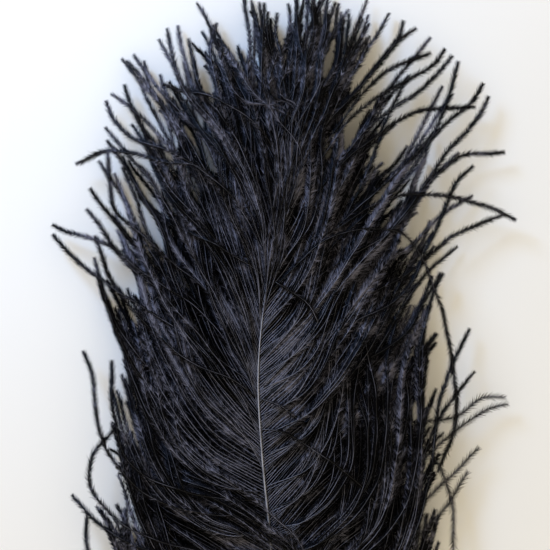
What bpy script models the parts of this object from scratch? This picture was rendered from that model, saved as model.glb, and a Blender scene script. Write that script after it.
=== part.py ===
"""Ostrich feather lying on a level surface: its shaft and its two vanes.

Metres, +Z up. The quill end points to -Y and the tip to +Y, the surface is z = 0, and the
origin is on the surface, under the middle of the feather's length and width.
"""

import math

import bmesh
import bpy
from mathutils import Vector

MM = 0.001

LENGTH = 500 * MM  # from the quill's end to the longest lock
SHAFT_TIP_Y = 172 * MM  # the shaft ends here, and its last barbs run on to the tip
VANE_START_Y = -170 * MM  # the quill is bare below this
VANE_THICKNESS = 4 * MM  # of the mat of barbs
GAP = 0.4 * MM  # between a vane and the shaft, less up to 0.1 mm where the shaft bends
FIRST_LEAVING_ANGLE = math.radians(52)  # between the shaft and the barbs next to the quill
LAST_LEAVING_ANGLE = math.radians(11)  # and the barbs at its tip
NOTCH = 0.09  # how far the outline dips between two locks, as a share of a barb
LANDING = 0.84  # share of a barb's length at which it lies on the surface
BARBS_ALONG = 48  # grid lines along the shaft, four to a lock
STEPS_ACROSS = 10  # grid lines from the shaft to the barbs' tips
TIP_PARTING = 5 * MM  # between the two vanes at the feather's tip
TIP_X = 3 * MM

# Stations of the shaft, from the quill's end to its tip: y, x, z and radius, in mm.
SHAFT_STATIONS = [
    (-250, 9.0, 3.1, 1.5),
    (-238, 8.6, 3.1, 2.9),
    (-215, 7.8, 3.1, 3.1),
    (-170, 5.0, 6.0, 2.6),
    (-100, -0.5, 15.0, 1.8),
    (-30, -6.0, 23.5, 1.1),
    (22, -11.0, 27.0, 0.75),
    (55, -12.7, 28.0, 0.62),
    (102, -8.7, 26.5, 0.48),
    (150, 0.7, 23.5, 0.34),
    (172, 4.0, 21.5, 0.25),
]

# Where each lock of barbs ends, from the quill to the tip: x and y, in mm.
LEFT_LOCK_TIPS = [
    (-18, -172),
    (-52, -140),
    (-76, -96),
    (-90, -48),
    (-97, 2),
    (-96, 48),
    (-103, 88),
    (-109, 122),
    (-115, 152),
    (-98, 187),
    (-76, 216),
    (-42, 240),
]
RIGHT_LOCK_TIPS = [
    (34, -172),
    (64, -142),
    (83, -98),
    (94, -50),
    (97, -2),
    (94, 45),
    (98, 84),
    (105, 116),
    (115, 142),
    (105, 182),
    (83, 214),
    (46, 238),
]


def smooth_value(stations, column, y):
    """Value of one column of the stations at y, on a curve that never overshoots them."""
    ends = [station[0] for station in stations]
    values = [station[column] for station in stations]
    steepness = [
        (values[i + 1] - values[i]) / (ends[i + 1] - ends[i]) for i in range(len(ends) - 1)
    ]

    def slope(i):
        before, after = steepness[max(i - 1, 0)], steepness[min(i, len(steepness) - 1)]
        return 2 * before * after / (before + after) if before * after > 0 else 0

    piece = sum(y >= end for end in ends[1:-1])
    width = ends[piece + 1] - ends[piece]
    t = (y - ends[piece]) / width
    return (
        values[piece] * (1 + 2 * t) * (1 - t) ** 2
        + slope(piece) * width * t * (1 - t) ** 2
        + values[piece + 1] * t * t * (3 - 2 * t)
        + slope(piece + 1) * width * t * t * (t - 1)
    )


def shaft_at(y):
    """Centre and radius of the shaft at this y, in metres."""
    x, z, radius = (smooth_value(SHAFT_STATIONS, column, y / MM) * MM for column in (1, 2, 3))
    return Vector((x, y, z)), radius


def between(a, b, t):
    return a + (b - a) * t


def vane_point(side, lock_tips, across, along):
    """Place on the underside of a vane.

    side is -1 for the left vane and 1 for the right one. across runs from 0 at the shaft to
    1 at the barbs' tips, and along from 0 at the first barb to 1 at the last.
    """
    centre, radius = shaft_at(between(VANE_START_Y, SHAFT_TIP_Y, along))
    root = Vector((centre.x + side * (radius + GAP), centre.y))

    place = along * (len(lock_tips) - 1)
    lock = min(int(place), len(lock_tips) - 2)
    tip = lock_tips[lock].lerp(lock_tips[lock + 1], place - lock)
    tip = tip.lerp(root, NOTCH * math.sin(math.pi * (place - lock)))

    # A barb leaves the shaft at an angle that closes up towards the feather's tip.
    leaving = between(FIRST_LEAVING_ANGLE, LAST_LEAVING_ANGLE, along**3)
    reach = 0.45 * (tip - root).length
    bend = root + reach * Vector((side * math.sin(leaving), math.cos(leaving)))
    plan = root.lerp(bend, across).lerp(bend.lerp(tip, across), across)

    # It leaves the shaft level, droops, and ends lying on the surface.
    down = min(across / LANDING, 1)
    height = (centre.z - VANE_THICKNESS / 2) * (1 - down**2) ** 2
    return Vector((plan.x, plan.y, height))


def make_material(name, colour, roughness):
    material = bpy.data.materials.new(name)
    material.use_nodes = True
    shader = material.node_tree.nodes["Principled BSDF"]
    shader.inputs["Base Color"].default_value = (*colour, 1)
    shader.inputs["Roughness"].default_value = roughness
    shader.inputs["Metallic"].default_value = 0
    return material


def add_object(name, data, material, collection, parent):
    data.materials.append(material)
    made = bpy.data.objects.new(name, data)
    collection.objects.link(made)
    made.parent = parent
    return made


def shaft_curve():
    """The calamus and the rachis as one tapering tube with a rounded root end."""
    quill_end = -LENGTH / 2
    end_steps = [0, 0.8, 2.5, 6]
    even_steps = range(12, 417, 10)
    stations = [quill_end + step * MM for step in (*end_steps, *even_steps)]
    curve = bpy.data.curves.new("shaft", "CURVE")
    curve.dimensions = "3D"
    curve.bevel_depth = MM
    curve.bevel_resolution = 2
    curve.use_fill_caps = True
    spline = curve.splines.new("POLY")
    spline.points.add(len(stations))
    for point, y in zip(spline.points, (*stations, SHAFT_TIP_Y), strict=True):
        centre, radius = shaft_at(y)
        point.co = (*centre, 1)
        point.radius = radius / MM
    return curve


def vane_sheet(name, side, lock_tips):
    """The underside of a vane, as a grid bent to its shape. Solidify gives it its thickness."""
    last_tip = Vector((TIP_X + side * TIP_PARTING / 2, LENGTH / 2))
    tips = [Vector(tip) * MM for tip in lock_tips] + [last_tip]
    sheet = bmesh.new()
    bmesh.ops.create_grid(sheet, x_segments=STEPS_ACROSS, y_segments=BARBS_ALONG, size=0.5)
    for vert in sheet.verts:
        across = abs(vert.co.x + side * 0.5)
        vert.co = vane_point(side, tips, across, vert.co.y + 0.5)
    mesh = bpy.data.meshes.new(name)
    sheet.to_mesh(mesh)
    sheet.free()
    return mesh


def add_thickness(vane):
    solidify = vane.modifiers.new("thickness", "SOLIDIFY")
    solidify.thickness = VANE_THICKNESS
    solidify.offset = 1


def build():
    for leftover in list(bpy.data.objects):
        bpy.data.objects.remove(leftover)
    collection = bpy.data.collections.new("ostrich_feather")
    bpy.context.scene.collection.children.link(collection)
    feather = bpy.data.objects.new("feather", None)
    collection.objects.link(feather)

    horn = make_material("dyed_horn", (0.085, 0.085, 0.1), 0.35)
    barbs = make_material("dyed_barbs", (0.014, 0.013, 0.018), 0.55)

    shaft = add_object("shaft", shaft_curve(), horn, collection, feather)
    shaft.data.splines[0].use_smooth = True
    for name, side, lock_tips in (
        ("left_vane", -1, LEFT_LOCK_TIPS),
        ("right_vane", 1, RIGHT_LOCK_TIPS),
    ):
        sheet = vane_sheet(name, side, lock_tips)
        sheet.shade_smooth()
        add_thickness(add_object(name, sheet, barbs, collection, feather))


build()
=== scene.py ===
"""Black ostrich feather lying on a pale table, seen from straight above.

All shapes below are in millimetres until add_mesh turns them into metres. The quill end
points to -Y and the tip to +Y, and z = 0 is the table.

A barb is one strand of the vane: a thin stem, the ramus, with two rows of loose barbules.
"""

import math
from collections import namedtuple

import bpy
import numpy as np
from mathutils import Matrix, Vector


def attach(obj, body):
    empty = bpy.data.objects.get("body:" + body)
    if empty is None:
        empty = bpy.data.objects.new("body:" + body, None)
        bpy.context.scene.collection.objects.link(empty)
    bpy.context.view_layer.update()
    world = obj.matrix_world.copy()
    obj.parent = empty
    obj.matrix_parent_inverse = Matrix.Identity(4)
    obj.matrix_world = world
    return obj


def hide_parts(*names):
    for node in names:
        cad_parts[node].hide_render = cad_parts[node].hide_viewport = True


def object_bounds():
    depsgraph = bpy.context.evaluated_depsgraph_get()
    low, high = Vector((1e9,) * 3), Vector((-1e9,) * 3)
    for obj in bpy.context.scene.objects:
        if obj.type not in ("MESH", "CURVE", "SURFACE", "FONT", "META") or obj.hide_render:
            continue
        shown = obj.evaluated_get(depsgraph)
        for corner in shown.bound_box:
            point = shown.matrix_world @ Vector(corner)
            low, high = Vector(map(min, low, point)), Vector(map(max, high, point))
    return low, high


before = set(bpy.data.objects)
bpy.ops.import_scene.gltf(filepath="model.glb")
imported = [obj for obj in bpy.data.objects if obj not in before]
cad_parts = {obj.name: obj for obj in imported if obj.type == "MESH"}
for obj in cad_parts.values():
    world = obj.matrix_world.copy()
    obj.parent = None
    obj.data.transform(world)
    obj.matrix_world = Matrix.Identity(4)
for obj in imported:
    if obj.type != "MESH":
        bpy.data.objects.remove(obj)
cad_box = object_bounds()

MM = 0.001
SEED = 29
UP = np.array([0.0, 0.0, 1.0])

# Barbs
FIRST_ROOT_Y = -168
LAST_ROOT_Y = 171
BUSHY_FROM_Y = -52  # nearer the quill, barbs have half as many barbules, twice as wide
WALLED_BELOW_Y = 20  # nearer the quill, barbs end in an even wall
WALL_LENGTHENING = 0.15  # of the barbs there, as a share of their guides'
WALL_LENGTHS = (0.95, 1.03)  # within these, the longest that each may be
SPACING_UNEVENNESS = (0.85, 1.15)
# These two go from one value at the first y to another at the second.
SPARSENESS = ((60, 120), (1, 1.6))  # how much farther apart barbs grow
SHORTNESS = ((60, 100), (1.5, 0.9))  # above 1, short barbs are the more common ones
FEWEST_POINTS = 12  # in the centre line of a barb that is cut short
CURVE_SAMPLES = 80
LOWEST = 0.8  # of a barb's centre line above the table
LOWEST_TIP = 0.15  # and of its barbules' tips
RAMUS_RADIUS = 0.15
RAMUS_TIP_RADIUS = 0.08
RAMUS_STEP = 3.6  # between the rings of a ramus
OVERHANG = 6  # at most, of the longest barbs past the CAD model's box

# How far barbs stray, as standard deviations. Bends are shares of a barb's length and waves
# are widths in mm. Some barbs have come loose from their lock. The others share its bend and
# wave, and have a little of their own.
LOOSE_SHARE = 0.15
LOOSE_BEND = 0.14
LOOSE_WAVE = 2
LOCK_BEND = 0.07
LOCK_WAVE = 2.4
OWN_BEND = 0.025
OWN_WAVE = 0.4
OWN_WAVE_START = 0.03
OWN_LEVEL = 0.2
TIP_BEND = 0.05
WALL_TIP_BEND = 0.02
WALL_CALM = 0.5  # in the wall of barbs, bends and waves are this share of the others'
TWIST = 0.5  # of a barb from end to end, as an angle
UNROLLED_AT = 0.3  # share of a barb where its twist leaves it level

# Barbules: real ones are 3 to 4 mm long and sit about 0.1 mm apart. Here they are nearly three
# times as far apart on the barbs on top, five times in the middle layer and nine times under
# it, and lie in pairs, so that each row still reads as a comb.
BARBULE_LENGTH = 3.8
STRAY_STEP = 0.28
TUFT = 2
DROOP = (0.75, 0.3)  # angle at which they hang down along the inner and the outer half of a barb
DROOP_AT = (0.4, 0.85)  # shares of a barb at which these are reached
UNREST = 0.3  # how far pairs stray from that
OWN_UNREST = 0.6  # how far each barbule does, as a share of a pair's
SPLAY_AT = (0.35, 0.75, 0.95, 1)  # inner angle to the first, outer one from second to third
TIP_CLOSING = 0.6  # angle at a barb's very tip, as a share of the outer one
WIDEST = 1.2  # angle between a barbule and its barb
UNLIKENESS = 0.15  # between the angles of clumped pairs, and of their barbules, as a share
LEAST_UNLIKENESS = 0.1  # this much more between barbules, clumped or not
LENGTH_SPREAD = 0.12
PAIR_LEAN = 0.6  # of a pair towards each other, as a share of their distance
CLUMPING = ((0.3, 0.75), (1, 0.2))  # of the pairs, falling along a barb
LEAST_GROWN = 0.3  # share of a barbule's full length next to the shaft
MOTTLE = 0.22  # between the tones of the pairs
HIGHLIGHT_BREAKS = 0.12  # between the tones along a ramus: the painted highlight breaks up into lighter and darker stretches
PAINTED_HIGHLIGHT = (1, 0.4)  # painted highlight of a ramus at the shaft and at its tip, where its side doesn't say
LYING_TONES = (0.2, 0.58)
STRAY_TONES = (0.15, 0.4)
CROWN_TONES = (0.3, 0.62)

# The barbs of a side lie in three layers. A layer's spacing multiplies the side's, and its
# step is between barbules. A barb's height follows a curve from the shaft, that heads for a
# height within rise in the middle and lands at one within ends. Its length is a share within
# lengths of its guide's. Splay and bare are as for a side, which gives them where a layer
# doesn't.
# The middle and under layers have darker tones than the top one, and the under layer a near-black
# material: painted shade under the barbs above.
Layer = namedtuple("Layer", "spacing step rise ends lengths tones splay bare")
TOP = Layer(
    spacing=1.0,
    step=0.27,
    rise=(23, 32),
    ends=(3, 10),
    lengths=(0.62, 1.05),
    tones=(0.26, 0.8),
    splay=None,
    bare=None,
)
# Its low tones are painted shade under the top layer.
MIDDLE = Layer(
    spacing=1.1,
    step=0.5,
    rise=(13, 22),
    ends=(2, 6),
    lengths=(0.5, 0.88),
    tones=(0.0, 0.28),
    splay=(0.55, 0.5),
    bare=5,
)
# Its tones go to the near-black material of the down: painted shade.
UNDER = Layer(
    spacing=1.0,
    step=0.9,
    rise=(4, 13),
    ends=(1, 3),
    lengths=(0.42, 0.62),
    tones=(0.0, 0.4),
    splay=(0.9, 0.6),
    bare=1,
)

# How high the barbs that lie outside the layers head for.
LYING_RISE = (32, 39)
FOLDED_RISE = (48, 50)
CROWN_RISE = 38
STRAY_RISE = 40
EDGE_RISE = 23
FRINGE_RISE = 20
FEATHERY_RISE = 14

LOCK_WIDTH = 12  # along the shaft, of the barbs that cling together
LOCK_UNEVENNESS = (0.5, 1.5)
LOCK_WAVES = (0.7, 2)  # number of waves along a barb
LOCK_LIGHT = 0.65  # share of a barb's tone that comes from its lock's level, which paints higher locks paler: painted light
CRIMP = (0.15, 22)  # width and length in mm of the small waves that the barbs of a lock share

PARTING_MARGIN = 1  # from its edge to the nearest barbs' centre lines
PARTING_REACH = 6  # within this, the push on the barbs beside it falls to about a third
PARTING_OPEN = 0.75  # share of its size that no barb of the vane enters
# Places where the barbs part and the table shows: x, y, how far the parting leans to the right,
# as an angle, half its length and half its width.
PARTINGS = [
    (34, 188, 0.15, 25, 3.6),
    (24, 174, 0.2, 12, 2.0),
    (54, 172, 0.35, 13, 2.6),
    (65, 131, 0.5, 16, 3.4),
    (60, 190, 0.6, 18, 2.8),
    (46, 212, 0.4, 15, 2.2),
    (78, 152, 0.6, 14, 2.4),
    (23, 216, 0.2, 15, 1.9),
    (-46, 174, -0.35, 14, 1.3),
    (-44, 150, -0.3, 10, 1.1),
    (-39, 206, -0.3, 17, 1.8),
    (-62, 186, -0.45, 16, 1.8),
    (-66, 130, -0.5, 16, 1.8),
    (-77, 104, -0.4, 16, 1.8),
    (0, 233, 0.1, 14, 1.8),
    (12, 230, 0.1, 13, 1.6),
    (-20, 228, -0.2, 15, 1.6),
]

# How barbs run on each side, from the quill to the tip. Each guide is the height along the
# shaft where the barb grows, then three places that it passes, the last one its tip.
LEFT_GUIDES = [
    (-168, (-9, -166), (-24, -157), (-35, -136)),
    (-120, (-26, -112), (-62, -92), (-84, -50)),
    (-75, (-32, -62), (-66, -40), (-84, -2)),
    (-45, (-33, -30), (-63, -8), (-83, 28)),
    (-30, (-34, -14), (-62, 10), (-82, 50)),
    (-12, (-34, 4), (-63, 30), (-82, 78)),
    (8, (-36, 22), (-64, 62), (-84, 118)),
    (25, (-31, 42), (-60, 89), (-87, 150)),
    (42, (-26, 61), (-56, 116), (-87, 182)),
    (58, (-23, 81), (-47, 141), (-76, 206)),
    (72, (-20, 98), (-40, 161), (-62, 220)),
    (90, (-17, 115), (-32, 180), (-50, 236)),
    (102, (-14, 128), (-26, 192), (-38, 243)),
    (125, (-11, 148), (-21, 202), (-30, 245)),
    (150, (-4, 170), (-11, 215), (-15, 247)),
    (171, (2, 188), (-1, 222), (-4, 249)),
]
RIGHT_GUIDES = [
    (-168, (20, -165), (38, -153), (47, -130)),
    (-120, (30, -106), (62, -84), (77, -40)),
    (-75, (24, -52), (55, -30), (72, 10)),
    (-45, (20, -20), (49, 6), (71, 42)),
    (-30, (17, -4), (45, 24), (70, 66)),
    (-12, (14, 13), (42, 42), (71, 90)),
    (8, (12, 30), (40, 62), (70, 116)),
    (25, (11, 43), (38, 76), (76, 146)),
    (42, (8, 62), (36, 100), (86, 168)),
    (58, (8, 77), (36, 122), (80, 196)),
    (72, (8, 93), (34, 144), (64, 214)),
    (90, (7, 112), (28, 165), (50, 230)),
    (102, (6, 126), (23, 182), (41, 241)),
    (125, (5, 145), (19, 198), (34, 247)),
    (150, (5, 170), (14, 212), (26, 248)),
    (171, (5, 188), (8, 222), (10, 249)),
]

# Locks of barbs that lie over the rest. The first two are widths as shares of the lock's: along
# the shaft, and at its first place and its tip. Each barb strays from the lock's line.
LYING_ROOTS = 0.9
LYING_OPENING = (0.4, 1)
LYING_STRAY = 0.9
LYING_HEIGHT_STRAY = 1
LYING_WAVE = 1.5
LYING_WAVES = (0.8, 1.6)
LYING_BENDS = (0.02, 0.06)
LYING_ENDS = (5, 11)
LYING_LENGTHS = (0.82, 1.06)
LYING_TWIST = 0.4
LYING_BARE = 14
# Each lock is listed one by one: how many barbs, how wide the lock is at its tip in mm, where it
# grows on the shaft, then the places that it passes.
LEFT_LOCKS = [
    (10, 13, -22, (-22, -20), (-45, -10), (-63, 6), (-72, 24), (-77, 50)),
    (5, 8, -4, (-28, 4), (-52, 22), (-66, 48), (-70, 84)),
    (6, 9, 16, (-24, 34), (-46, 60), (-60, 98), (-64, 134)),
    (5, 9, 30, (-22, 46), (-40, 74), (-66, 104), (-80, 140)),
    (6, 8, 46, (-20, 66), (-38, 100), (-44, 136), (-54, 172)),
    (5, 8, 64, (-20, 92), (-36, 126), (-58, 156), (-70, 186)),
    (6, 7, 84, (-15, 116), (-28, 152), (-33, 190), (-42, 222)),
    (5, 8, 104, (-12, 138), (-26, 172), (-44, 198), (-54, 226)),
    (6, 9, -60, (-30, -52), (-58, -36), (-72, -8), (-76, 28)),
    (6, 9, -100, (-30, -92), (-60, -74), (-76, -44), (-80, -8)),
]
RIGHT_LOCKS = [
    (7, 11, -14, (10, 0), (20, 20), (22, 50), (19, 80), (25, 112)),
    (7, 11, -24, (16, -10), (31, 12), (33, 46), (35, 80), (41, 112)),
    (7, 11, -38, (22, -22), (43, 4), (48, 40), (45, 76), (54, 110)),
    (7, 11, -54, (27, -38), (53, -12), (61, 28), (59, 66), (69, 104)),
    (7, 11, -72, (30, -56), (57, -32), (68, 8), (68, 48), (71, 84)),
    (7, 11, -96, (30, -80), (60, -56), (70, -18), (70, 20), (72, 52)),
    (6, 10, -50, (20, -30), (32, -6), (36, 26), (30, 56), (31, 80)),
    (6, 10, -64, (26, -44), (44, -22), (50, 12), (56, 44), (52, 74)),
    (6, 10, -2, (14, 14), (26, 38), (30, 72), (38, 104), (48, 128)),
    (6, 9, 14, (14, 32), (25, 58), (27, 92), (36, 130)),
    (6, 9, 24, (16, 42), (34, 64), (48, 96), (54, 130)),
    (6, 9, 34, (11, 52), (24, 78), (35, 108), (42, 142)),
    (6, 9, 46, (10, 64), (21, 94), (27, 128), (33, 164)),
    (6, 9, 54, (12, 74), (28, 106), (42, 142), (50, 174)),
    (6, 8, 66, (9, 88), (18, 122), (25, 160), (30, 198)),
    (6, 8, 80, (9, 104), (22, 140), (30, 178), (42, 214)),
    (5, 8, 102, (10, 132), (16, 168), (24, 204), (30, 236)),
]

# The same for the locks that cross over the end of the shaft.
CROWN_LOCKS = [
    (5, 4, 120, (-2, 150), (-3, 173), (-11, 191), (-17, 206), (-24, 220)),
    (5, 4, 128, (-3, 158), (-2, 182), (3, 197), (8, 212), (7, 236)),
    (4, 5, 96, (-4, 124), (-8, 152), (-12, 182), (-30, 214)),
    (4, 5, 104, (0, 132), (8, 160), (12, 190), (24, 222)),
]

# A lock that grows on the right of the shaft and has folded back over it.
FOLDED_LOCKS = [
    (12, 13, -66, (9, -50), (7, -31), (-10, -16), (-32, -2), (-56, 7), (-80, 20)),
]

# Single barbs that have come loose. Edge strays and fringe strays come out from under the
# others at the edge of the vane. Feathery strays are thicker, with fewer and wider barbules.
STRAY_SPLAY = (0.5, 0.6)
FEATHERY_SPLAY = (0.5, 0.65)
STRAY_WAVE = 0.5
STRAY_WAVES = (1.5, 3)
STRAY_ENDS = (7, 14)
# Each is listed one by one: where it grows on the shaft, then the places that it passes.
LEFT_STRAYS = [
    (90, (-24, 132), (-41, 161), (-63, 164), (-77, 168), (-89, 169), (-105, 164)),
    (114, (-29, 150), (-54, 168), (-79, 178), (-86, 186), (-90, 196)),
    (155, (-11, 179), (-31, 194), (-52, 201), (-61, 204)),
    (114, (-24, 155), (-38, 179), (-44, 182), (-52, 186)),
    (106, (-21, 115), (-33, 122), (-47, 129), (-62, 134)),
    (47, (-27, 57), (-45, 64), (-59, 75), (-72, 92)),
    (-12, (-42, -10), (-72, 2), (-89, 24), (-95, 46), (-97, 60), (-101, 69)),
    (-5, (-47, 0), (-78, 16), (-85, 38), (-87, 64)),
    (-30, (-47, -28), (-86, -10), (-97, 6), (-96, 16), (-86, 30)),
    (-50, (-47, -35), (-80, -24), (-98, -12), (-107, -4)),
    (-65, (-52, -58), (-87, -50), (-98, -30), (-99, -14)),
]
LEFT_EDGE_STRAYS = [
    (52, (-42, 90), (-72, 110), (-89, 123), (-111, 130), (-119, 134)),
    (52, (-52, 80), (-87, 102), (-109, 119), (-117, 128)),
    (80, (-39, 135), (-62, 170), (-78, 195), (-81, 204)),
    (65, (-39, 100), (-67, 124), (-84, 140), (-88, 158), (-90, 170)),
]
LEFT_FRINGE_STRAYS = [
    (50, (-42, 92), (-66, 114), (-87, 137), (-98, 151)),
    (40, (-40, 76), (-67, 104), (-85, 120), (-99, 141)),
    (14, (-45, 42), (-77, 72), (-90, 95), (-96, 116)),
    (5, (-42, 34), (-74, 60), (-86, 84), (-93, 107)),
    (27, (-42, 58), (-72, 86), (-88, 108), (-95, 127)),
]
RIGHT_EDGE_STRAYS = [
    (45, (28, 60), (58, 75), (71, 94), (81, 108)),
    (85, (23, 110), (53, 130), (80, 159), (90, 167), (112, 171)),
    (97, (23, 128), (55, 146), (83, 147), (110, 139), (119, 134)),
    (60, (28, 90), (61, 108), (85, 126), (111, 138)),
    (50, (28, 80), (61, 100), (77, 132), (87, 154), (96, 162)),
    (70, (23, 100), (58, 135), (83, 170), (100, 189), (104, 198)),
    (90, (23, 128), (56, 158), (82, 184), (96, 196), (101, 204)),
    (108, (18, 150), (43, 175), (64, 188), (83, 192), (97, 193)),
    (85, (28, 125), (63, 160), (83, 195), (89, 215)),
    (115, (13, 155), (36, 188), (57, 203), (77, 215), (82, 222)),
    (105, (16, 145), (43, 182), (73, 204), (85, 218)),
    (125, (13, 160), (33, 190), (59, 214), (74, 220)),
    (135, (16, 175), (38, 202), (59, 226), (67, 232)),
    (140, (23, 185), (46, 210), (58, 228), (60, 236)),
]
RIGHT_STRAYS = [
    (97, (28, 128), (58, 128), (76, 97), (84, 64), (86, 33), (78, 8)),
    (106, (3, 100), (11, 94), (17, 85), (21, 78), (25, 65)),
    (47, (-4, 44), (8, 36), (19, 22)),
    (31, (-4, 31), (7, 26), (28, 12), (51, -12), (62, -30)),
    (162, (4, 190), (13, 186), (22, 179), (27, 169)),
]
RIGHT_FEATHERY_STRAYS = [
    (10, (23, 25), (68, 34), (88, 36), (101, 45), (112, 46)),
    (-12, (28, 0), (58, 5), (85, 27), (105, 40), (114, 42)),
    (-28, (28, -20), (58, -15), (83, 4), (99, 20)),
    (-45, (28, -38), (58, -30), (83, -9), (93, 8)),
    (22, (28, 35), (63, 30), (84, -3), (86, -35)),
]

# spacing is between barbs along the shaft.
# bare is how far from the shaft a barb's barbules have grown to their full length, and
# splay is their angle to the barb along its inner part and its outer part.
# clinging is how far the barbs of a lock are drawn together at the places of a guide.
# The last field is how pale its rami are painted at the shaft and at their tips: a painted highlight.
Side = namedtuple(
    "Side",
    "name sign guides locks strays edge_strays fringe_strays feathery_strays "
    "spacing bare splay clinging gloss",
)
LEFT = Side(
    name="left",
    sign=-1,
    guides=LEFT_GUIDES,
    locks=LEFT_LOCKS,
    strays=LEFT_STRAYS,
    edge_strays=LEFT_EDGE_STRAYS,
    fringe_strays=LEFT_FRINGE_STRAYS,
    feathery_strays=[],
    spacing=1.7,
    bare=8,
    splay=(0.4, 0.55),
    clinging=(0, 0.1, 0.1),
    gloss=(1.2, 0.85),
)
RIGHT = Side(
    name="right",
    sign=1,
    guides=RIGHT_GUIDES,
    locks=RIGHT_LOCKS,
    strays=RIGHT_STRAYS,
    edge_strays=RIGHT_EDGE_STRAYS,
    fringe_strays=[],
    feathery_strays=RIGHT_FEATHERY_STRAYS,
    spacing=1.4,
    bare=20,
    splay=(0.6, 0.55),
    clinging=(0, 0.25, 0.5),
    # Painted highlight: the rami beside the shaft on this side are painted palest, where they catch the
    # window's light.
    gloss=(1.8, 0),
)

# Barbs that run on over the end of the shaft
CROWN_FROM_Y = 84
CROWN_TO_Y = 168
CROWN_SPACING = 2.6
CROWN_WAVE = 1.6
CROWN_WAVES = (1, 2.4)
CROWN_ENDS = (6, 14)
CROWN_TIPS_Y = (225, 252)
CROWN_SPLAY = (0.3, 0.5)
# Painted highlight of the crown barbs' rami, at the shaft and at their tips.
CROWN_PAINTED_HIGHLIGHT = (0.7, 0.4)

# Shaft
CAD_RING_SPACING = 10
SHAFT_SIDES = 24
RING_SPACING = 3
# Rings at its ends: how far from the end, and how wide as a share of the shaft. Those of the
# quill come out of the small hole in its end and run over the rounded edge.
QUILL_END_RINGS = [(2, 0.14), (0.2, 0.16), (0, 0.24), (0.3, 0.6), (1, 0.85)]
TIP_RINGS = [(0.4, 0.8), (0, 0.3)]
# These go from one value at the first y to another at the second.
SQUARISH = ((-185, -150), (1, 0.7))  # a power: 1 is round and less is squarish
SLIMNESS = ((-120, -20), (1, 0.5))  # width seen from above, as a share of the height
GROOVE = ((-170, -140), (0, 0.35))  # depth along the underside, as a share of the radius
GROOVE_NARROWNESS = 12

# Each strand of a piece has its own strip of the map, with margins at its ends and sides.
MAP_END_MARGIN = 0.01
MAP_SIDE_MARGIN = 0.08


# Shapes


def shaft_line(node):
    """Stations along the CAD shaft, from its tip to its quill end: y, x, z and radius, in mm."""
    places = np.array([vertex.co for vertex in node.data.vertices]) / MM
    rings = np.round((places[:, 1].max() - places[:, 1]) / CAD_RING_SPACING).astype(int)
    stations = []
    for ring in np.unique(rings):
        around = np.unique(np.round(places[rings == ring], 3), axis=0)
        x, y, z = around.mean(axis=0)
        radius = np.hypot(around[:, 0] - x, around[:, 2] - z).mean()
        stations.append((y, x, z, radius))
    line = np.array(stations[::-1])
    line[0, 0] = places[:, 1].min()
    return line


SHAFT = shaft_line(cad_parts["shaft"])
FARTHEST = np.array(cad_box[1][:2]) / MM + OVERHANG - BARBULE_LENGTH


def shaft_at(y):
    """x, z and radius of the shaft at this y."""
    return [np.interp(y, SHAFT[:, 0], SHAFT[:, column]) for column in (1, 2, 3)]


def smooth_path(points, step):
    """Points a step apart on a smooth curve through the given ones."""
    points = np.asarray(points, float)
    chord = np.linalg.norm(np.diff(points, axis=0), axis=1)
    at = np.concatenate(([0], np.cumsum(chord)))
    slope = np.gradient(points, at, axis=0)
    t = np.linspace(0, at[-1], CURVE_SAMPLES)
    piece = np.clip(np.searchsorted(at, t, side="right") - 1, 0, len(chord) - 1)
    width = chord[piece][:, None]
    u = (t - at[piece])[:, None] / width
    curve = (
        points[piece] * (1 + 2 * u) * (1 - u) ** 2
        + slope[piece] * width * u * (1 - u) ** 2
        + points[piece + 1] * u**2 * (3 - 2 * u)
        + slope[piece + 1] * width * u**2 * (u - 1)
    )
    run = np.concatenate(([0], np.cumsum(np.linalg.norm(np.diff(curve, axis=0), axis=1))))
    stops = np.linspace(0, run[-1], max(int(run[-1] / step), 4))
    return np.stack([np.interp(stops, run, curve[:, axis]) for axis in range(curve.shape[1])], axis=1)


def guide_at(guides, root_y):
    """The three places that a barb growing at root_y passes."""
    roots = [guide[0] for guide in guides]
    return [
        tuple(np.interp(root_y, roots, [guide[place][axis] for guide in guides]) for axis in (0, 1))
        for place in (1, 2, 3)
    ]


def parted(plan):
    """The same line, moved aside where it runs through a parting."""
    moved = plan.copy()
    for x, y, lean, half_length, half_width in PARTINGS:
        along = np.array([math.sin(lean), math.cos(lean)])
        offset = plan - (x, y)
        forward, aside = offset @ along, offset @ (along[1], -along[0])
        opening = np.cos(np.clip(forward / half_length, -1, 1) * math.pi / 2)
        push = (half_width + PARTING_MARGIN) * opening * np.exp(-abs(aside) / PARTING_REACH)
        side = np.sign(np.interp(0, forward, aside) if forward[-1] > forward[0] else aside.mean())
        moved += np.outer(push * side, (along[1], -along[0]))
    return moved


def in_partings(plan):
    """Whether each point of a line is in the open part of a parting."""
    inside = np.zeros(len(plan), bool)
    for x, y, lean, half_length, half_width in PARTINGS:
        along = np.array([math.sin(lean), math.cos(lean)])
        offset = plan - (x, y)
        forward, aside = offset @ along, offset @ (along[1], -along[0])
        inside |= np.hypot(forward / half_length, aside / half_width) < PARTING_OPEN
    return inside


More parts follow.
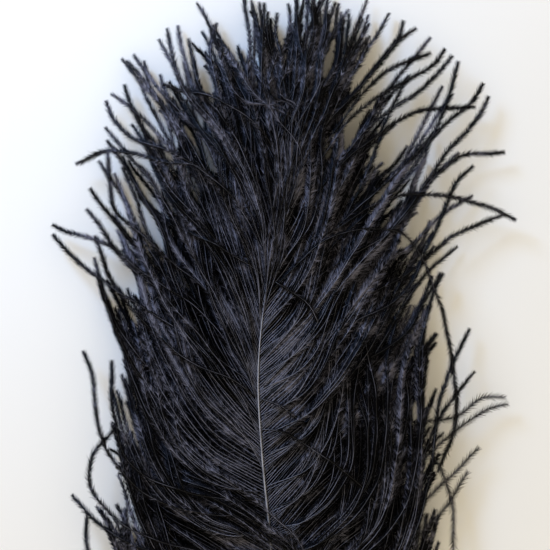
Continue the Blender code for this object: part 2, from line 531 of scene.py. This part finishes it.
def barb_path(root_y, sign, places, step, heights, wave, bend=(0, 0), length=1, crossing=False):
    """Centre line of a barb.

    sign is -1 on the left of the shaft and 1 on the right.
    heights are how far above the table it heads for in the middle and where its tip ends.
    wave is a width in mm, the number of waves and where they start.
    bend turns it to the left, first as a whole and then at the tip, as shares of its length.
    A crossing barb runs over the partings. Others end where they would enter one.
    """
    x, z, radius = shaft_at(root_y)
    root = np.array([x + sign * radius * 0.5, root_y])
    plan = smooth_path([root, *places], step)
    plan = root + (plan - root) * length
    share = np.linspace(0, 1, len(plan))
    along = np.gradient(plan, axis=0)
    across = np.stack([-along[:, 1], along[:, 0]], axis=1)
    across /= np.linalg.norm(across, axis=1)[:, None]
    size = np.linalg.norm(along, axis=1).sum()
    width, waves, start = wave
    ripple = width * np.sin(2 * math.pi * (waves * share + start)) * np.sin(math.pi * share / 2)
    turned = size * (bend[0] * share**2 + bend[1] * share**5)
    crimp = CRIMP[0] * np.sin(2 * math.pi * (size * share / CRIMP[1] + 5 * start))
    plan = plan + across * (turned + ripple + crimp)[:, None]
    plan = plan if crossing else parted(plan)
    middle, end = heights
    height = (z - radius / 2) * (1 - share) ** 2 + 2 * middle * share * (1 - share) + end * share**2
    path = np.column_stack([plan, np.maximum(height, LOWEST)])
    ended = np.any(np.abs(plan) > FARTHEST, axis=1)
    if not crossing:
        ended |= in_partings(plan)
    return path[: max(np.argmax(ended), FEWEST_POINTS)] if ended.any() else path


def directions(path, twist):
    """Along, left and up of each stretch of a barb, rolled by twist, an angle at each stretch."""
    along = np.diff(path, axis=0)
    along /= np.linalg.norm(along, axis=1)[:, None]
    left = np.cross(UP, along)
    left /= np.linalg.norm(left, axis=1)[:, None]
    up = np.cross(along, left)
    roll_cos, roll_sin = np.cos(twist)[:, None], np.sin(twist)[:, None]
    return along, left * roll_cos + up * roll_sin, up * roll_cos - left * roll_sin


def in_tufts(count, rng):
    """A random number for each barbule, the same for those of a tuft."""
    return np.repeat(rng.normal(size=count // TUFT + 1), TUFT)[:count]


def barbule_rows(path, rng, tone, splay, bare=8, twist=0.0, droop=DROOP, every=1):
    """Both rows of barbules of a barb: points, triangles, places on the map and tones.

    A barbule is two steps wide where it grows. every is how many steps apart they grow.
    """
    steps = len(path) - 1
    first = np.arange(0, steps, every)
    count = len(first)
    share = (first + 0.5) / steps
    roll = twist * (np.arange(steps) / steps - UNROLLED_AT)
    along, left, up = (direction[first] for direction in directions(path, roll))
    middles = ((path[1:] + path[:-1]) / 2)[first]
    step = np.linalg.norm(path[1] - path[0]) * every
    left_to_end = (count - np.arange(count)) * step
    to_tuft_middle = (TUFT - 1) / 2 - np.arange(count) % TUFT
    grown = np.clip(share * steps * step / every / bare, LEAST_GROWN, 1)
    clumped = np.interp(share, *CLUMPING)
    inner, outer = splay
    rows, tones = [], [tone + MOTTLE * in_tufts(steps + 1, rng)]
    for side in (1, -1):
        unlike = UNLIKENESS * clumped * in_tufts(count, rng)
        unlike += (LEAST_UNLIKENESS + UNLIKENESS * clumped) * rng.normal(size=count)
        angle = np.interp(share, SPLAY_AT, (inner, outer, outer, outer * TIP_CLOSING))
        angle = np.minimum(angle * np.exp(unlike), WIDEST)
        tilt = UNREST * (in_tufts(count, rng) * clumped + rng.normal(0, OWN_UNREST, count))
        tilt -= np.interp(share, DROOP_AT, droop)
        size = BARBULE_LENGTH * grown * (1 + rng.normal(0, LENGTH_SPREAD, count))
        size = np.minimum(size, (left_to_end + 1) / np.cos(angle))
        reach = along * np.cos(angle)[:, None] + np.sin(angle)[:, None] * (
            side * left * np.cos(tilt)[:, None] + up * np.sin(tilt)[:, None]
        )
        lean = along * (to_tuft_middle * step * PAIR_LEAN * clumped)[:, None]
        tips = middles + reach * size[:, None] + lean
        tips[:, 2] = np.maximum(tips[:, 2], LOWEST_TIP)
        rows.append(tips)
        tones.append(tone + MOTTLE * in_tufts(count, rng))
    last = np.minimum(first + 2, steps)
    at = np.arange(count)
    left_faces = np.stack([first, last, steps + 1 + at], axis=1)
    right_faces = np.stack([last, first, steps + 1 + count + at], axis=1)
    u = np.concatenate([np.linspace(0, 1, steps + 1), share, share])
    v = np.concatenate([np.full(steps + 1, 0.5), np.ones(count), np.zeros(count)])
    faces = np.concatenate([left_faces, right_faces])
    places = np.stack([u[faces], v[faces]], axis=2)
    return np.concatenate([path, *rows]), faces, places, np.concatenate(tones)


def ramus_tube(path, rng, tone, thickness, gloss):
    """The stem of a barb, a three-sided tapering tube. Its tone is a painted highlight, paler in some
    stretches than in others.
    """
    every = max(round(RAMUS_STEP / np.linalg.norm(path[1] - path[0])), 1)
    stops = np.unique(np.append(np.arange(0, len(path) - 1, every), len(path) - 1))
    line = path[stops]
    along = np.gradient(line, axis=0)
    along /= np.linalg.norm(along, axis=1)[:, None]
    left = np.cross(UP, along)
    left /= np.linalg.norm(left, axis=1)[:, None]
    up = np.cross(along, left)
    share = stops / stops[-1]
    width = thickness * (RAMUS_RADIUS + (RAMUS_TIP_RADIUS - RAMUS_RADIUS) * share)[:, None]
    rings = [
        line + width * (left * math.cos(turn) + up * math.sin(turn))
        for turn in (math.pi / 2, math.pi * 7 / 6, math.pi * 11 / 6)
    ]
    count = len(stops)
    points = np.concatenate(rings)
    first = np.arange(count - 1)
    faces, maps = [], []
    for ring in range(3):
        here, there = ring * count + first, (ring + 1) % 3 * count + first
        faces.append(np.stack([here, there, there + 1, here + 1], axis=1))
        u = np.stack([share[:-1], share[:-1], share[1:], share[1:]], axis=1)
        v = np.tile([ring / 3, (ring + 1) / 3, (ring + 1) / 3, ring / 3], (count - 1, 1))
        maps.append(np.stack([u, v], axis=2))
    patches = rng.normal(size=count + 2)
    ramus_highlight = tone * (gloss[0] + (gloss[1] - gloss[0]) * share)
    ramus_highlight += HIGHLIGHT_BREAKS * (patches[:-2] + patches[1:-1] + patches[2:])
    return points, np.concatenate(faces), np.concatenate(maps), np.tile(ramus_highlight, 3)


def add_mesh(name, points, faces, maps=None, smooth=False, values=None):
    """A mesh object from points in mm, faces of one size, and their places on the map."""
    corners = faces.shape[1]
    mesh = bpy.data.meshes.new(name)
    mesh.vertices.add(len(points))
    mesh.vertices.foreach_set("co", (points * MM).astype(np.float32).ravel())
    mesh.loops.add(faces.size)
    mesh.loops.foreach_set("vertex_index", faces.astype(np.int32).ravel())
    mesh.polygons.add(len(faces))
    mesh.polygons.foreach_set("loop_start", np.arange(0, faces.size, corners, dtype=np.int32))
    mesh.polygons.foreach_set("use_smooth", np.full(len(faces), smooth))
    if maps is not None:
        layer = mesh.uv_layers.new(name="OFBake")
        layer.uv.foreach_set("vector", maps.astype(np.float32).ravel())
    for key, numbers in (values or {}).items():
        attribute = mesh.attributes.new(key, "FLOAT", "POINT")
        attribute.data.foreach_set("value", numbers.astype(np.float32))
    mesh.update(calc_edges=True)
    made = bpy.data.objects.new(name, mesh)
    bpy.context.scene.collection.objects.link(made)
    return made


def join_strands(name, strands, material, node, smooth=False):
    """One piece from many strands of a vane."""
    rows = len(strands)
    points, faces, maps, tones, start = [], [], [], [], 0
    for row, (strand_points, strand_faces, strand_map, strand_tones) in enumerate(strands):
        points.append(strand_points)
        faces.append(strand_faces + start)
        placed = strand_map.copy()
        placed[..., 0] = MAP_END_MARGIN + (1 - 2 * MAP_END_MARGIN) * placed[..., 0]
        across = MAP_SIDE_MARGIN + (1 - 2 * MAP_SIDE_MARGIN) * placed[..., 1]
        placed[..., 1] = (row + across) / rows
        maps.append(placed)
        tones.append(np.clip(strand_tones, 0, 1))
        start += len(strand_points)
    piece = add_mesh(
        name,
        np.concatenate(points),
        np.concatenate(faces),
        np.concatenate(maps),
        smooth,
        {"tone": np.concatenate(tones)},
    )
    piece.data.materials.append(material)
    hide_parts(node)
    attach(piece, "root")


# Materials


def linear(hex_colour):
    """sRGB hex to linear RGBA."""
    parts = [int(hex_colour[i : i + 2], 16) / 255 for i in (1, 3, 5)]
    parts = [part / 12.92 if part <= 0.04045 else ((part + 0.055) / 1.055) ** 2.4 for part in parts]
    return (*parts, 1)


def new_material(name):
    material = bpy.data.materials.new(name)
    material.use_nodes = True
    return material, material.node_tree, material.node_tree.nodes["Principled BSDF"]


def add_node(tree, kind, settings=None, values=None, links=None):
    """A node with its settings, its sockets' values and the sockets that feed it."""
    node = tree.nodes.new(kind)
    for name, value in (settings or {}).items():
        setattr(node, name, value)
    for socket, value in (values or {}).items():
        node.inputs[socket].default_value = value
    for socket, source in (links or {}).items():
        tree.links.new(source, node.inputs[socket])
    return node


def add_noise(tree, place, scale, detail):
    """A noise texture. Its patches are 1 / scale across, in the units that place is in."""
    values = {"Scale": scale, "Detail": detail}
    return add_node(tree, "ShaderNodeTexNoise", None, values, {"Vector": place}).outputs["Fac"]


def add_ramp(tree, shader, level, *stops):
    """The shader's colour, from a level and the stops of a ramp: position and colour."""
    ramp = add_node(tree, "ShaderNodeValToRGB", None, None, {"Fac": level})
    elements = ramp.color_ramp.elements
    for element, (position, colour) in zip(elements, (stops[0], stops[-1]), strict=True):
        element.position = position
        element.color = linear(colour)
    for position, colour in stops[1:-1]:
        elements.new(position).color = linear(colour)
    tree.links.new(ramp.outputs["Color"], shader.inputs["Base Color"])


def dyed_barbules_painted_sheen():
    """Keratin barbules, dyed black: soft, barely shining, with a cool sheen where they catch light that
    is mostly painted into their colour, which runs from near-black up to a pale bluish grey.

    The pale pairs and the patches about 17 mm across are partly dye that took unevenly and partly
    painted glints.
    """
    material, tree, shader = new_material("dyed_keratin_barbules_painted_sheen")
    tone = add_node(tree, "ShaderNodeAttribute", {"attribute_name": "tone"})
    place = add_node(tree, "ShaderNodeTexCoord")
    patches = add_noise(tree, place.outputs["Object"], 60, 3)
    mixed = add_node(
        tree,
        "ShaderNodeMath",
        {"operation": "MULTIPLY"},
        None,
        {0: tone.outputs["Fac"], 1: patches},
    )
    # Painted sheen: the pale bluish-grey end of the ramp stands in for light caught by the barbules;
    # the near-black end is the dye.
    add_ramp(tree, shader, mixed.outputs["Value"], (0.25, "#020203"), (0.46, "#6a6a79"))
    shader.inputs["Roughness"].default_value = 0.36
    shader.inputs["IOR"].default_value = 1.55
    shader.inputs["Specular IOR Level"].default_value = 0.045
    shader.inputs["Specular Tint"].default_value = linear("#e4e8ff")
    return material


def dyed_down_painted_shade():
    """The layer against the table: the same keratin, matt since little light reaches it, and painted
    near-black as painted shade from the barbs above.
    """
    material, tree, shader = new_material("dyed_keratin_down_painted_shade")
    tone = add_node(tree, "ShaderNodeAttribute", {"attribute_name": "tone"})
    add_ramp(tree, shader, tone.outputs["Fac"], (0, "#020203"), (1, "#08070b"))
    shader.inputs["Roughness"].default_value = 0.8
    shader.inputs["IOR"].default_value = 1.55
    shader.inputs["Specular IOR Level"].default_value = 0.05
    return material


def dyed_rami_painted_highlight():
    """The stems of the barbs: smoother horn under the same dye, painted pale bluish grey as a painted
    highlight, so each shows as a thin light line.
    """
    material, tree, shader = new_material("dyed_keratin_rami_painted_highlight")
    tone = add_node(tree, "ShaderNodeAttribute", {"attribute_name": "tone"})
    # Painted highlight: the pale bluish-grey end of the ramp stands in for light along each stem.
    add_ramp(tree, shader, tone.outputs["Fac"], (0.1, "#0b0b0d"), (0.8, "#7c7e8f"))
    shader.inputs["Roughness"].default_value = 0.3
    shader.inputs["IOR"].default_value = 1.55
    shader.inputs["Specular IOR Level"].default_value = 0.35
    return material


def dyed_horn():
    """The shaft: horn that grew with a lengthwise grain, dyed black. Along the rachis it is painted
    paler, a painted highlight for the light along its top.

    The calamus stays nearly black and the rachis shows as a grey line. The streaks of the
    grain are about 0.4 mm wide and 17 mm long. Real ones are a few times finer, and wouldn't show.
    """
    material, tree, shader = new_material("dyed_horn")
    place = add_node(tree, "ShaderNodeTexCoord")
    stretched = add_node(
        tree,
        "ShaderNodeMapping",
        None,
        {"Scale": (2500, 60, 2500)},
        {"Vector": place.outputs["Object"]},
    )
    grain = add_noise(tree, stretched.outputs["Vector"], 1, 4)
    along = add_node(tree, "ShaderNodeSeparateXYZ", None, None, {"Vector": place.outputs["Object"]})
    # Painted highlight: the rachis is painted paler than the calamus.
    painted_rachis_sheen = add_node(
        tree,
        "ShaderNodeMapRange",
        None,
        {"From Min": -0.19, "From Max": -0.08, "To Min": 0, "To Max": 0.5},
        {"Value": along.outputs["Y"]},
    )
    level = add_node(
        tree,
        "ShaderNodeMath",
        {"operation": "ADD"},
        None,
        {0: grain, 1: painted_rachis_sheen.outputs["Result"]},
    )
    stops = ((0.35, "#19181b"), (0.65, "#3b3a42"), (0.82, "#5a5c68"), (1, "#8f929f"))
    add_ramp(tree, shader, level.outputs["Value"], *stops)
    shader.inputs["Roughness"].default_value = 0.33
    shader.inputs["IOR"].default_value = 1.55
    return material


BARBULE_DYE_AND_SHEEN = dyed_barbules_painted_sheen()
DOWN_DYE_AND_SHADE = dyed_down_painted_shade()
RAMUS_DYE_AND_HIGHLIGHT = dyed_rami_painted_highlight()
HORN = dyed_horn()


# Pieces


def strand(path, rng, tone, splay, thickness=1, gloss=PAINTED_HIGHLIGHT, **looks):
    """A barb with this centre line: its barbules and its ramus."""
    barbules = barbule_rows(path, rng, tone, splay, **looks)
    return barbules, ramus_tube(path, rng, tone, thickness, gloss)


def make_locks(rng):
    """How the barbs of a side cling together: each lock's middle on the shaft, bend, level and wave.

    A level runs from 0, low, to 1, high. A barb is painted darker the lower its lock lies and paler the
    higher: painted shade and light.
    """
    edges = [FIRST_ROOT_Y]
    while edges[-1] < LAST_ROOT_Y:
        edges.append(edges[-1] + LOCK_WIDTH * rng.uniform(*LOCK_UNEVENNESS))
    middles = (np.array(edges[1:]) + np.array(edges[:-1])) / 2
    count = len(middles)
    waves = [rng.normal(0, LOCK_WAVE, count), rng.uniform(*LOCK_WAVES, count), rng.random(count)]
    return middles, rng.normal(0, LOCK_BEND, count), rng.random(count), np.column_stack(waves)


def layer_barbs(layer, side, locks, rng):
    """The barbs of one layer on one side."""
    strands = []
    middles, bends, levels, waves = locks
    root_y = FIRST_ROOT_Y
    while root_y < LAST_ROOT_Y:
        lock = np.argmin(abs(middles - root_y))
        loose = rng.random() < LOOSE_SHARE
        walled = root_y < WALLED_BELOW_Y
        bend = rng.normal(0, LOOSE_BEND) if loose else bends[lock] + rng.normal(0, OWN_BEND)
        bend *= WALL_CALM if walled else 1
        level = np.clip(levels[lock] + rng.normal(0, OWN_LEVEL), 0, 1)
        rise = layer.rise[0] + (layer.rise[1] - layer.rise[0]) * level
        width, count, start = waves[lock] * (WALL_CALM if walled else 1, 1, 1)
        if loose:
            width, start = rng.normal(0, LOOSE_WAVE), rng.random()
        wave = (width + rng.normal(0, OWN_WAVE), count, start + rng.normal(0, OWN_WAVE_START))
        shortness = np.interp(root_y, *SHORTNESS)
        length = layer.lengths[0] + (layer.lengths[1] - layer.lengths[0]) * rng.random() ** shortness
        if walled:
            length = min(length + WALL_LENGTHENING, rng.uniform(*WALL_LENGTHS))
        step = layer.step * (1 if root_y > BUSHY_FROM_Y else 2)
        own, drawn = guide_at(side.guides, root_y), guide_at(side.guides, middles[lock])
        places = [
            np.array(place) * (1 - cling) + np.array(towards) * cling
            for place, towards, cling in zip(own, drawn, side.clinging, strict=True)
        ]
        heights = (rise, rng.uniform(*layer.ends))
        turn = (bend, rng.normal(0, WALL_TIP_BEND if walled else TIP_BEND))
        crossing = loose and layer is TOP
        path = barb_path(root_y, side.sign, places, step, heights, wave, turn, length, crossing)
        splay, bare = layer.splay or side.splay, layer.bare or side.bare
        # Painted light and shade: the higher the lock lies, the paler the barb is painted.
        lit = LOCK_LIGHT * levels[lock] + (1 - LOCK_LIGHT) * rng.random()
        tone = layer.tones[0] + (layer.tones[1] - layer.tones[0]) * lit
        looks = {"bare": bare, "twist": rng.normal(0, TWIST), "gloss": side.gloss}
        strands.append(strand(path, rng, tone, splay, **looks))
        spacing = side.spacing * layer.spacing * np.interp(root_y, *SPARSENESS)
        root_y += spacing * rng.uniform(*SPACING_UNEVENNESS)
    return strands


def lying_locks(locks, sign, splay, rng, gloss=PAINTED_HIGHLIGHT, rises=LYING_RISE):
    """Locks of barbs that lie over the others."""
    strands = []
    for count, spread, root_y, *places in locks:
        places = np.array(places, float)
        run = places[-1] - places[0]
        across = np.array([-run[1], run[0]]) / np.linalg.norm(run)
        opening = np.linspace(*LYING_OPENING, len(places))[:, None]
        wave = (rng.normal(0, LYING_WAVE), rng.uniform(*LYING_WAVES), rng.random())
        rise, end = rng.uniform(*rises), rng.uniform(*LYING_ENDS)
        for barb in range(count):
            offset = spread * (barb / (count - 1) - 0.5)
            passed = places - sign * offset * opening * across
            passed += rng.normal(0, LYING_STRAY, passed.shape) * opening
            heights = np.array((rise, end)) + rng.normal(0, LYING_HEIGHT_STRAY, 2)
            turn = rng.normal(0, LYING_BENDS)
            length = rng.uniform(*LYING_LENGTHS)
            own_root_y = root_y + offset * LYING_ROOTS
            path = barb_path(own_root_y, sign, passed, STRAY_STEP, heights, wave, turn, length)
            tone = rng.uniform(*LYING_TONES)
            looks = {"bare": LYING_BARE, "twist": rng.normal(0, LYING_TWIST), "gloss": gloss}
            strands.append(strand(path, rng, tone, splay, **looks))
    return strands


def stray_barbs(side, strays, rng, rise=STRAY_RISE, splay=STRAY_SPLAY, **looks):
    """Single barbs that lie across the others or stand out at the edge."""
    strands = []
    for root_y, *places in strays:
        heights = (rise + rng.uniform(-2, 2), rng.uniform(*STRAY_ENDS))
        wave = (rng.normal(0, STRAY_WAVE), rng.uniform(*STRAY_WAVES), rng.random())
        path = barb_path(root_y, side.sign, places, STRAY_STEP, heights, wave, crossing=True)
        strands.append(strand(path, rng, rng.uniform(*STRAY_TONES), splay, **looks))
    return strands


def crown_barbs(rng):
    """Barbs that grow along the end of the shaft and run on over it to the feather's tip.

    Each passes one place close to the shaft, one past its end and one at the feather's tip.
    """
    strands = []
    for root_y in np.arange(CROWN_FROM_Y, CROWN_TO_Y, CROWN_SPACING):
        sign = rng.choice((-1, 1))
        spread = np.clip(rng.normal(0, 0.5), -1, 1)
        x = shaft_at(root_y + 30)[0]
        places = [
            (x + rng.normal(0, 3.5), root_y + rng.uniform(24, 32)),
            (2 + 16 * spread + rng.normal(0, 3), 185 + 0.12 * (root_y - CROWN_FROM_Y)),
            (3 + 40 * spread, rng.uniform(*CROWN_TIPS_Y)),
        ]
        wave = (rng.normal(0, CROWN_WAVE), rng.uniform(*CROWN_WAVES), rng.random())
        heights = (CROWN_RISE, rng.uniform(*CROWN_ENDS))
        path = barb_path(root_y, sign, places, STRAY_STEP, heights, wave)
        tone = rng.uniform(*CROWN_TONES)
        strands.append(strand(path, rng, tone, CROWN_SPLAY, gloss=CROWN_PAINTED_HIGHLIGHT))
    return strands


def add_barbs(name, strands, material, node, rami_material=None):
    """A piece of the barbs' barbules and, where their rami are in sight, a piece of those."""
    join_strands(name, [barbules for barbules, _ in strands], material, node)
    if rami_material:
        join_strands(f"{name}_rami", [ramus for _, ramus in strands], rami_material, node, True)


def vane(side, rng):
    """All barbs of one side of the feather."""
    node = f"{side.name}_vane"
    locks = make_locks(rng)
    loose = stray_barbs(side, side.strays, rng)
    loose += stray_barbs(side, side.edge_strays, rng, EDGE_RISE)
    feathery = {"thickness": 1.8, "droop": (0, 0), "every": 2}
    loose += stray_barbs(
        side, side.feathery_strays, rng, FEATHERY_RISE, FEATHERY_SPLAY, **feathery
    )
    loose += stray_barbs(side, side.fringe_strays, np.random.default_rng(SEED), FRINGE_RISE)
    top = layer_barbs(TOP, side, locks, rng)
    add_barbs(f"{side.name}_barbs_top", top, BARBULE_DYE_AND_SHEEN, node, RAMUS_DYE_AND_HIGHLIGHT)
    middle = layer_barbs(MIDDLE, side, locks, rng)
    add_barbs(f"{side.name}_barbs_middle", middle, BARBULE_DYE_AND_SHEEN, node)
    under = layer_barbs(UNDER, side, locks, rng)
    add_barbs(f"{side.name}_barbs_under", under, DOWN_DYE_AND_SHADE, node)
    lying = lying_locks(side.locks, side.sign, side.splay, rng, side.gloss)
    add_barbs(f"{side.name}_locks", lying, BARBULE_DYE_AND_SHEEN, node, RAMUS_DYE_AND_HIGHLIGHT)
    add_barbs(f"{side.name}_barbs_loose", loose, BARBULE_DYE_AND_SHEEN, node, RAMUS_DYE_AND_HIGHLIGHT)


def shaft_piece():
    """The shaft: a round calamus with the small hole at its end, then the squarish rachis."""
    end, tip = SHAFT[0, 0], SHAFT[-1, 0]
    rings = [(end + inwards, width) for inwards, width in QUILL_END_RINGS]
    rings += [(y, 1) for y in np.arange(end + 2.5, tip - 1, RING_SPACING)]
    rings += [(tip - inwards, width) for inwards, width in TIP_RINGS]
    turns = np.linspace(0, 2 * math.pi, SHAFT_SIDES, endpoint=False)
    points = []
    for y, width in rings:
        x, z, radius = shaft_at(y)
        power = np.interp(y, *SQUARISH)
        groove = np.interp(y, *GROOVE) * np.maximum(-np.sin(turns), 0) ** GROOVE_NARROWNESS
        wide = np.sign(np.cos(turns)) * abs(np.cos(turns)) ** power * np.interp(y, *SLIMNESS)
        high = np.sign(np.sin(turns)) * abs(np.sin(turns)) ** power * (1 - groove)
        ring = [x + width * radius * wide, np.full(SHAFT_SIDES, y), z + width * radius * high]
        points.append(np.column_stack(ring))
    spoke = np.arange(SHAFT_SIDES)
    beside = (spoke + 1) % SHAFT_SIDES
    low, high = spoke / SHAFT_SIDES, (spoke + 1) / SHAFT_SIDES
    faces, maps = [], []
    for ring in range(len(rings) - 1):
        here, there = ring * SHAFT_SIDES, (ring + 1) * SHAFT_SIDES
        faces.append(np.stack([here + spoke, there + spoke, there + beside, here + beside], axis=1))
        left, right = (np.full(SHAFT_SIDES, (ring + step) / len(rings)) for step in (0.5, 1.5))
        maps.append(np.stack([left, low, right, low, right, high, left, high], axis=1))
    strip = np.arange(SHAFT_SIDES // 2 - 1)
    last = (len(rings) - 1) * SHAFT_SIDES
    closing = np.stack([strip, strip + 1, SHAFT_SIDES - 2 - strip, SHAFT_SIDES - 1 - strip], axis=1)
    faces += [closing, last + closing[:, ::-1]]
    closing_low, closing_high = strip / len(strip), (strip + 1) / len(strip)
    for start in (0.001, 1 - 0.4 / len(rings)):
        left, right = np.full(len(strip), start), np.full(len(strip), start + 0.3 / len(rings))
        corners = [left, closing_low, right, closing_low, right, closing_high, left, closing_high]
        maps.append(np.stack(corners, axis=1))
    faces, maps = np.concatenate(faces), np.concatenate(maps)
    piece = add_mesh("rachis_and_calamus", np.concatenate(points), faces, maps.reshape(-1, 4, 2), True)
    piece.data.materials.append(HORN)
    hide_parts("shaft")
    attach(piece, "root")


# Table, light and camera


def table_top():
    """A matt board, painted off-white, with an unevenness in the paint about 110 mm across."""
    material, tree, shader = new_material("painted_board")
    place = add_node(tree, "ShaderNodeTexCoord")
    mottle = add_noise(tree, place.outputs["Object"], 9, 2)
    add_ramp(tree, shader, mottle, (0, "#eaeaea"), (1, "#ededed"))
    shader.inputs["Roughness"].default_value = 0.6
    half = 2500.0  # of its side
    corners = np.array([(-half, -half, 0), (half, -half, 0), (half, half, 0), (-half, half, 0)])
    board = add_mesh("table_top", corners, np.array([[0, 1, 2, 3]]))
    board.data.materials.append(material)


def add_area_light(name, place, target, size, power, colour):
    light = bpy.data.lights.new(name, "AREA")
    light.shape = "DISK"
    light.size = size
    light.energy = power
    light.color = colour
    holder = bpy.data.objects.new(name, light)
    holder.location = place
    bpy.context.scene.collection.objects.link(holder)
    direction = np.array(target) - np.array(place)
    holder.rotation_euler = Vector(direction).to_track_quat("-Z", "Y").to_euler()


def lighting():
    """Warm light from all round the room, less of it from above, and a cool window on the left."""
    world = bpy.data.worlds.new("room")
    bpy.context.scene.world = world
    world.use_nodes = True
    tree = world.node_tree
    place = add_node(tree, "ShaderNodeTexCoord")
    upward = add_node(tree, "ShaderNodeSeparateXYZ", None, None, {"Vector": place.outputs["Generated"]})
    strength = add_node(
        tree,
        "ShaderNodeMapRange",
        None,
        {"From Min": 0.5, "From Max": 0.9, "To Min": 1.37, "To Max": 0.66},
        {"Value": upward.outputs["Z"]},
    )
    tree.nodes["Background"].inputs["Color"].default_value = (0.89, 0.775, 0.57, 1)
    tree.links.new(strength.outputs["Result"], tree.nodes["Background"].inputs["Strength"])
    add_area_light("window", (-0.45, 0.65, 0.5), (0, 0.1, 0), 0.3, 6.8, (0.38, 0.6, 1.0))
    bpy.context.scene.view_settings.view_transform = "Standard"


def camera():
    """Straight down over the upper half of the feather."""
    data = bpy.data.cameras.new("camera")
    data.sensor_width = 36
    height = 0.75  # of the camera above the table, in metres
    level, width_seen = 0.02, 0.275  # at this height above the table, this much is in view
    data.lens = data.sensor_width * (height - level) / width_seen
    data.clip_start = 0.05
    data.clip_end = 20
    made = bpy.data.objects.new("camera", data)
    made.location = (-0.00425, 0.1075, height)
    bpy.context.scene.collection.objects.link(made)
    bpy.context.scene.camera = made


random = np.random.default_rng(SEED)
crown = crown_barbs(random) + lying_locks(CROWN_LOCKS, LEFT.sign, CROWN_SPLAY, random)
add_barbs("crown_barbs", crown, BARBULE_DYE_AND_SHEEN, "left_vane", RAMUS_DYE_AND_HIGHLIGHT)
vane(LEFT, random)
vane(RIGHT, random)
separate = np.random.default_rng(SEED)
# (1, 0.8) is the painted highlight of its rami, at the shaft and at their tips.
folded = lying_locks(FOLDED_LOCKS, RIGHT.sign, LEFT.splay, separate, (1, 0.8), FOLDED_RISE)
add_barbs("folded_lock", folded, BARBULE_DYE_AND_SHEEN, "right_vane", RAMUS_DYE_AND_HIGHLIGHT)
shaft_piece()
table_top()
lighting()
camera()
